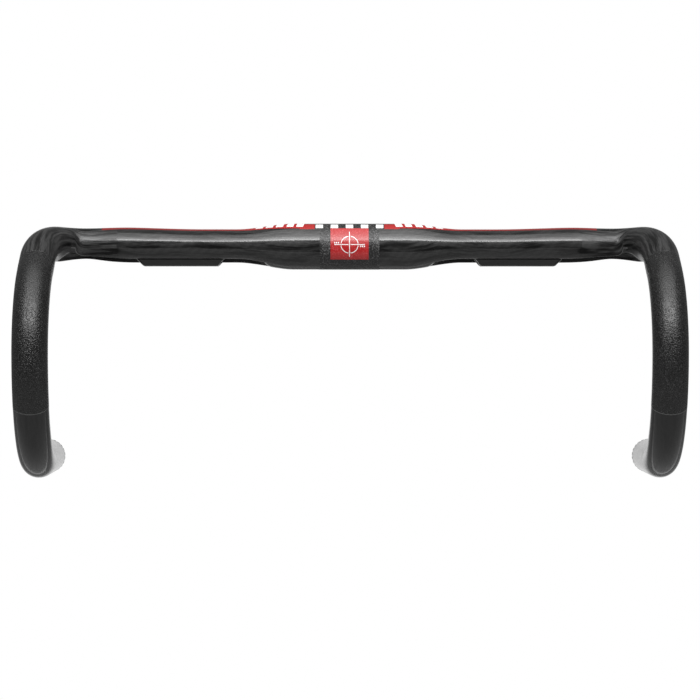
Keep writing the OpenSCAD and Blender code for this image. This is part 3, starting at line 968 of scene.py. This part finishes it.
# On the barrel, heights are degrees above the front and widths are millimetres
BADGE_LOW, BADGE_TOP, BADGE_HALF = -36.0, 50.4, 13.1
film_piece(
    "badge", "badge_panel", "red_film",
    [barrel_film(BADGE_LOW, BADGE_TOP, -BADGE_HALF, BADGE_HALF)], red_print,
)

# The target, a circle and a cross: LINE is half a line's width, and CLEAR is how far
# the circle and the arms stop from a crossing
TARGET_ANGLE, TARGET_R, ARM, LINE = 3.0, 5.9, 10.5, 0.27
TARGET_UPPER, TARGET_LOWER, CLEAR = 38.0, -28.0, 0.75
LINE_TURN = math.degrees(LINE / clamp_r)
CLEAR_TURN = math.degrees(CLEAR / TARGET_R)


def target_parts():
    level = (TARGET_ANGLE - LINE_TURN, TARGET_ANGLE + LINE_TURN)
    parts = [barrel_film(TARGET_LOWER, TARGET_UPPER, -LINE, LINE, TARGET_LIFT)]
    for x0, x1 in ((-ARM, -CLEAR), (CLEAR, ARM)):
        parts.append(barrel_film(*level, x0, x1, TARGET_LIFT))
    for quarter in range(4):
        start = quarter * 90 + CLEAR_TURN
        end = start + 90 - 2 * CLEAR_TURN
        parts.append(barrel_ring(TARGET_ANGLE, TARGET_R, LINE, start, end, TARGET_LIFT))
    tick_w, tick_pitch, tick_count, tick_turn = 0.7, 1.3, 3, 4.0
    gap_turn = math.degrees(0.4 / clamp_r)
    for sign in (-1, 1):
        for i in range(tick_count):
            x = sign * (ARM - tick_w / 2 - i * tick_pitch)
            near = TARGET_ANGLE - sign * (LINE_TURN + gap_turn)
            far = near - sign * tick_turn
            turns = sorted((near, far))
            parts.append(barrel_film(*turns, x - tick_w / 2, x + tick_w / 2, TARGET_LIFT))
    return parts


film_piece("badge_target", "badge_scale", "white_film", target_parts(), white_print)

MARK_BAND, MARK_W, MARK_PITCH, MARK_COUNT = (51.0, 71.0), 5.1, 10.4, 5
PANEL_BAND = (47.0, 74.0)
film_piece(
    "clamp_marks", "rotation_marks", "white_film",
    [
        barrel_film(*MARK_BAND, x - MARK_W / 2, x + MARK_W / 2)
        for x in ((i - MARK_COUNT // 2) * MARK_PITCH for i in range(MARK_COUNT))
    ],
    white_print,
)

PANEL_X, BAND_END = (24.0, 34.4), 171.0
# Shares of the outline over the top, from the rear lip to the front one
BAND_FROM, BAND_TO, STRIPE_TO = 16 / 35, 22.5 / 35, 21.7 / 35
STRIPES = ((29.6, 34.4), (36.4, 41.0), (43.5, 48.5), (50.5, 55.5), (57.5, 62.5))
for side_name, side_sign in SIDES.items():
    panel_x = sorted(x * side_sign for x in PANEL_X)
    bands = [
        barrel_film(*PANEL_BAND, *panel_x),
        wing_film(side_sign, PANEL_X[1], BAND_END, BAND_FROM, BAND_TO),
    ]
    film_piece(side_name + "_red", side_name + "_red_band", "red_film", bands, red_band_print)
    bars = [
        wing_film(side_sign, s0, s1, BAND_FROM, STRIPE_TO, STRIPE_SLANT, STRIPE_LIFT)
        for s0, s1 in STRIPES
    ]
    film_piece(
        side_name + "_stripes", side_name + "_white_stripes", "white_film", bars, white_print
    )


# ---- End plugs: turned shapes about the drop's axis, z out of the drop's end ----
def drop_frame(side):
    axis = mirrored(drop_dir, side)
    across = Vector((axis.y, -axis.x, 0))
    return mirrored(drop_end, side), axis, across, axis.cross(across)


def turned_rings(side, rows, count, radius_of):
    """Rings through (radius, z) rows; radius_of gives a row's radius at an angle."""
    origin, axis, across, up = drop_frame(side)
    rings = []
    for i, (r, z) in enumerate(rows):
        ring = []
        for j in range(count):
            angle = 2 * math.pi * j / count
            outward_dir = math.cos(angle) * across + math.sin(angle) * up
            ring.append(origin + axis * z + radius_of(i, angle, r, z) * outward_dir)
        rings.append(ring)
    return rings


CAP_HEIGHT = 3.18
BORE_R = tube_r - WALL - 0.05
SHANK_R, HEAD_R, HEAD_LEN, SEAT_Z = 2.5, 4.25, 3.0, -0.4
SPIGOT = 6.0
CAP_POINTS, SCREW_POINTS = 192, 96  # round a ring
NOTCHES, NOTCH_DEPTH = 24, 0.28
KNURLS, KNURL_DEPTH = 32, 0.12


def build_cap(name, side):
    """The cap's dome with finger notches, and its spigot."""
    dome = [
        (SHANK_R + 0.25, -SPIGOT), (BORE_R - 0.4, -SPIGOT), (BORE_R, -SPIGOT + 0.5),
        (BORE_R, -3.2), (BORE_R - 0.25, -3.0), (BORE_R - 0.25, -2.4), (BORE_R, -2.2),
        (BORE_R, 0.0), (tube_r - 0.15, 0.0), (tube_r - 0.02, 0.25), (tube_r, 0.7),
        (tube_r - 0.3, 0.55 * CAP_HEIGHT), (tube_r - 0.8, 0.72 * CAP_HEIGHT),
        (tube_r - 1.6, 0.85 * CAP_HEIGHT), (tube_r - 2.6, 0.95 * CAP_HEIGHT),
        (tube_r - 4, CAP_HEIGHT), (tube_r - 4.6, CAP_HEIGHT), (tube_r - 4.9, CAP_HEIGHT - 0.3),
        (tube_r - 5.4, CAP_HEIGHT - 0.3), (tube_r - 5.7, CAP_HEIGHT), (HEAD_R + 0.7, CAP_HEIGHT),
        (HEAD_R + 0.35, CAP_HEIGHT - 0.3), (HEAD_R + 0.35, SEAT_Z), (SHANK_R + 0.25, SEAT_Z),
    ]
    notched = range(9, 14)  # the dome's rows from its rim to its shoulder

    def radius_of(i, angle, r, z):
        if i not in notched:
            return r
        return r - NOTCH_DEPTH * max(0.0, math.cos(NOTCHES * angle)) ** 3

    rings = turned_rings(side, dome, CAP_POINTS, radius_of)
    data = skin(rings, [z for _, z in dome], closed=True)
    made = mesh_piece(name + "_cap", name + "_plug", "cap_plastic", *data, sharp=35)
    give(made, cap_black)
    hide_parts(name + "_plug_cap")


THREAD_PITCH, THREAD_DEPTH, THREAD_ROWS = 0.8, 0.22, 150
KEY_FLAT, KEY_DEPTH = 2.0, 2.0
CONE_IN, CONE_LEN = -24.0, 12.0


def build_screw(name, side):
    """The screw: a knurled socket head and a shank with a helical thread."""
    top = SEAT_Z + 0.02 + HEAD_LEN
    start = CONE_IN - 1
    rows = [(SHANK_R - 0.5, start), (SHANK_R - 0.1, start + 0.4)]
    thread_end = CONE_IN + CONE_LEN + 1
    rows += [(SHANK_R, z) for z in spread(start + 0.5, thread_end, THREAD_ROWS)]
    threaded = range(2, len(rows))
    rows += [(SHANK_R, thread_end + 0.3), (SHANK_R, SEAT_Z + 0.02)]
    side_from = len(rows)
    rows += [(HEAD_R - 0.2, SEAT_Z + 0.02), (HEAD_R, SEAT_Z + 0.25), (HEAD_R, top - 0.45)]
    knurled = range(side_from + 1, side_from + 3)
    rows += [(HEAD_R - 0.35, top), (KEY_FLAT + 0.62, top)]
    hexed = range(len(rows), len(rows) + 3)
    rows += [(KEY_FLAT + 0.05, top - 0.3), (KEY_FLAT, top - 0.5), (KEY_FLAT, top - KEY_DEPTH)]

    def radius_of(i, angle, r, z):
        if i in threaded:
            phase = (z / THREAD_PITCH - side * angle / (2 * math.pi)) % 1.0
            return r - THREAD_DEPTH * abs(2 * phase - 1)
        if i in knurled:
            return r - KNURL_DEPTH * (0.5 + 0.5 * math.cos(KNURLS * angle))
        if i in hexed:
            return r / math.cos((angle + math.pi / 6) % (math.pi / 3) - math.pi / 6)
        return r

    rings = turned_rings(side, rows, SCREW_POINTS, radius_of)
    data = skin(rings, [z for _, z in rows])
    made = mesh_piece(name + "_screw", name + "_screw", "screw_steel", *data, sharp=35)
    give(made, screw_black)
    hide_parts(name + "_plug_screw")


for side_name, side_sign in SIDES.items():
    build_cap(side_name, side_sign)
    build_screw(side_name, side_sign)
    give(frame["nodes"][side_name + "_plug_expander"], rubber_black)
    give(frame["nodes"][side_name + "_plug_cone"], cone_metal)
    give(frame["nodes"][side_name + "_bond_sleeve"], carbon_bare)


# ---- Floor, light and camera ----
FLOOR_Z = -0.36
FLOOR_X, FLOOR_Y = (-1.1, 1.1), (-0.62, 0.30)
FLOOR_FADE = 0.08
FLOOR_DIM, FLOOR_PALE = (0.30, 0.33), (0.78, 0.82)


def build_floor():
    """A pale sheet that fades into the white of the room at its edges. The bar sees
    it dimmer than the camera does, and it is clear from below."""
    columns = [FLOOR_X[0], FLOOR_X[0] + FLOOR_FADE, FLOOR_X[1] - FLOOR_FADE, FLOOR_X[1]]
    rows = [FLOOR_Y[0], FLOOR_Y[0] + FLOOR_FADE, FLOOR_Y[1] - FLOOR_FADE, FLOOR_Y[1]]
    points = [(x, y, FLOOR_Z) for y in rows for x in columns]
    faces = [(c, c + 1, c + 5, c + 4) for c in (0, 1, 2, 4, 5, 6, 8, 9, 10)]
    mesh = bpy.data.meshes.new("floor")
    mesh.from_pydata(points, [], faces)
    made = bpy.data.objects.new("floor", mesh)
    bpy.context.scene.collection.objects.link(made)
    paint, tree, p = shader("floor_paint")
    space = object_space(tree)
    at = node(tree, "SeparateXYZ", {"Vector": space})
    edges = []
    for axis, (lo, hi) in (("X", FLOOR_X), ("Y", FLOOR_Y)):
        from_middle = calc(tree, "SUBTRACT", at.outputs[axis], (lo + hi) / 2)
        reach = calc(tree, "ABSOLUTE", from_middle)
        half = (hi - lo) / 2
        edges.append(ramp(tree, reach, half - FLOOR_FADE, half))
    edge = calc(tree, "MAXIMUM", *edges)
    cloud = noise(tree, 6, 3, space)
    dim = blend_colour(tree, cloud, *map(grey, FLOOR_DIM))
    pale = blend_colour(tree, cloud, *map(grey, FLOOR_PALE))
    seen = node(tree, "LightPath").outputs["Is Camera Ray"]
    sheet = blend_colour(tree, seen, dim, pale)
    tree.links.new(blend_colour(tree, edge, sheet, grey(0.0)), p.inputs["Base Color"])
    fixed(p, Roughness=0.9, Specular_IOR_Level=0.2, Emission_Color=(1, 1, 1, 1))
    tree.links.new(edge, p.inputs["Emission Strength"])
    below = node(tree, "NewGeometry").outputs["Backfacing"]
    clear = node(tree, "BsdfTransparent").outputs[0]
    cover = node(tree, "MixShader", {0: below, 1: p.outputs[0], 2: clear})
    tree.links.new(cover.outputs[0], tree.nodes["Material Output"].inputs["Surface"])
    mesh.materials.append(paint)


build_floor()


def softbox(name, middle, size, radiance, target):
    """A rectangular area light of even radiance, hidden from the camera."""
    data = bpy.data.lights.new(name, "AREA")
    data.shape = "RECTANGLE"
    data.size, data.size_y = size
    data.energy = radiance * math.pi * size[0] * size[1]
    made = bpy.data.objects.new(name, data)
    made.location = middle
    made.rotation_euler = (Vector(target) - Vector(middle)).to_track_quat("-Z", "Y").to_euler()
    made.visible_camera = False
    bpy.context.scene.collection.objects.link(made)


BAR_MIDDLE = (0.0, -0.02, 0.0)


def box_at(name, low, high, width, distance, radiance):
    """A softbox in front of and above the bar, from one elevation to another."""
    a = math.radians((low + high) / 2)
    middle = (0.0, -distance * math.cos(a), distance * math.sin(a))
    height = 2 * distance * math.tan(math.radians(high - low) / 2)
    softbox(name, middle, (width, height), radiance, BAR_MIDDLE)


# An arc of boxes, brightest at its lower edge
ARC_WIDTH, ARC_DISTANCE = 3.0, 2.1
for low, high, radiance in (
    (30, 38, 12.0), (38, 48, 6.0), (48, 62, 3.6), (62, 85, 2.0), (85, 100, 1.3),
):
    box_at("arc_%d" % low, low, high, ARC_WIDTH, ARC_DISTANCE, radiance)


# The room's brightness by the Y of the direction looked in
BACK_SPAN, BACK_LEVEL = (0.92, 0.99), 0.68
SIDE_SPAN, SIDE_LEVELS = (-1.0, 0.5), (0.10, 0.18)


def build_world():
    """White behind the bar, falling to grey at its sides and dark towards the front."""
    world = bpy.data.worlds.new("studio")
    bpy.context.scene.world = world
    world.use_nodes = True
    tree = world.node_tree
    background = tree.nodes["Background"]
    direction = node(tree, "TexCoord").outputs["Generated"]
    part = node(tree, "SeparateXYZ", {"Vector": direction})
    back = ramp(tree, part.outputs["Y"], *BACK_SPAN, 0.0, BACK_LEVEL)
    sides = ramp(tree, part.outputs["Y"], *SIDE_SPAN, *SIDE_LEVELS)
    level = calc(tree, "ADD", back, sides)
    seen = node(tree, "LightPath").outputs["Is Camera Ray"]
    shown = calc(tree, "MAXIMUM", level, seen)
    tint = node(tree, "CombineColor", {"Red": shown, "Green": shown, "Blue": shown})
    tree.links.new(tint.outputs["Color"], background.inputs["Color"])
    background.inputs["Strength"].default_value = 1.0


build_world()

LENS_MM, CAMERA_YAW = 129.2, -0.0076
CAMERA_AT = (-0.0128, -1.741, -0.0716)
camera_data = bpy.data.cameras.new("camera")
camera_data.sensor_width = 36.0
camera_data.lens = LENS_MM
camera_data.clip_start, camera_data.clip_end = 0.05, 50.0
camera = bpy.data.objects.new("camera", camera_data)
camera.location = CAMERA_AT
camera.rotation_euler = (math.pi / 2, 0.0, CAMERA_YAW)
bpy.context.scene.collection.objects.link(camera)
bpy.context.scene.camera = camera
bpy.context.scene.view_settings.view_transform = "Standard"
